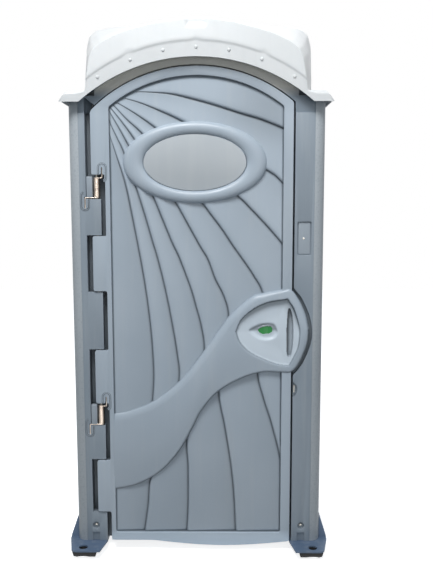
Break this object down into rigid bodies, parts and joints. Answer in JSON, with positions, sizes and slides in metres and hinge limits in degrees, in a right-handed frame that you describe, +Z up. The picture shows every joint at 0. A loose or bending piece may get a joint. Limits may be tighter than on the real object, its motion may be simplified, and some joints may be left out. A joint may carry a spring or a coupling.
{
  "type": "portable toilet cabin",
  "caption": "Free-standing moulded toilet cabin with an arched roof, a sprung hinged door with a turn lock, a seat over a waste tank, a wall urinal and a vent stack.",
  "frame": {"origin": "on the ground under the middle of the cabin's bounding box", "axes": "+Z up, -Y out of the door, +X to the right of someone who faces the door"},
  "size_m": [1.15, 1.22, 2.345],
  "materials": {
    "cabin_shell": "satin blue grey polyethylene",
    "door_shell": "satin blue grey polyethylene",
    "roof_shell": "translucent white polyethylene",
    "black_plastic": "coarse black recycled plastic",
    "galvanised_steel": "dull galvanised",
    "interior_plastic": "satin polyethylene",
    "green_indicator": "glossy green",
    "tissue": "soft tissue paper"
  },
  "bodies": {
    "cabin": {"skid_left": "black_plastic", "skid_right": "black_plastic", "base_pan": "cabin_shell", "side_wall_left": "cabin_shell", "side_wall_right": "cabin_shell", "back_wall": "cabin_shell", "hinge_jamb": "cabin_shell", "latch_jamb": "cabin_shell", "door_header": "cabin_shell", "roof": "roof_shell", "roof_rivet_1": "roof_shell", "roof_rivet_2": "roof_shell", "roof_rivet_3": "roof_shell", "roof_rivet_4": "roof_shell", "roof_rivet_5": "roof_shell", "roof_rivet_6": "roof_shell", "roof_rivet_7": "roof_shell", "jamb_bolt_left": "galvanised_steel", "jamb_bolt_right": "galvanised_steel", "cover_screw": "galvanised_steel", "hasp_plate_jamb": "galvanised_steel", "strike_plate": "galvanised_steel", "hinge_rod": "galvanised_steel", "hinge_spring_lower": "galvanised_steel", "hinge_spring_upper": "galvanised_steel", "waste_tank": "interior_plastic", "seat_bracket_left": "black_plastic", "seat_bracket_right": "black_plastic", "seat_pin": "galvanised_steel", "vent_pipe": "black_plastic", "vent_cap": "black_plastic", "urinal": "interior_plastic", "urinal_drain": "black_plastic", "paper_holder": "black_plastic"},
    "door": {"door_outer_panel": "door_shell", "door_inner_panel": "interior_plastic", "hasp_plate_door": "galvanised_steel", "lock_housing": "black_plastic"},
    "lock_turn_knob": {"lock_knob": "black_plastic", "indicator_disc": "green_indicator"},
    "lock_slide_bolt": {"lock_bolt": "galvanised_steel"},
    "seat": {"seat_ring": "black_plastic"},
    "lid": {"seat_lid": "black_plastic"},
    "roll": {"paper_roll": "tissue"}
  },
  "joints": [
    {"name": "door_swing", "type": "hinge", "parent": "cabin", "child": "door", "pos_m": [-0.424, -0.495, 1], "axis": [0, 0, -1], "range_deg": [0, 92], "stiffness_Nm_per_rad": 1.2, "springref_deg": -22.92, "deforming": ["hinge_spring_lower", "hinge_spring_upper"]},
    {"name": "lock_turn", "type": "hinge", "parent": "door", "child": "lock_turn_knob", "pos_m": [0.292, -0.465, 0.997], "axis": [0, 1, 0], "range_deg": [0, 90]},
    {"name": "bolt_slide", "type": "slide", "parent": "door", "child": "lock_slide_bolt", "axis": [1, 0, 0], "range_m": [0, 0.018]},
    {"name": "seat_hinge", "type": "hinge", "parent": "cabin", "child": "seat", "pos_m": [0, 0.462, 0.52], "axis": [-1, 0, 0], "range_deg": [0, 88]},
    {"name": "lid_hinge", "type": "hinge", "parent": "cabin", "child": "lid", "pos_m": [0, 0.462, 0.52], "axis": [-1, 0, 0], "range_deg": [-95, 0]},
    {"name": "roll_spin", "type": "hinge", "parent": "cabin", "child": "roll", "pos_m": [0.4587, 0.2, 0.74], "axis": [0, 1, 0], "continuous": true}
  ],
  "couplings": [
    {"joint": "bolt_slide", "follows": "lock_turn", "m_per_rad": 0.01145}
  ]
}
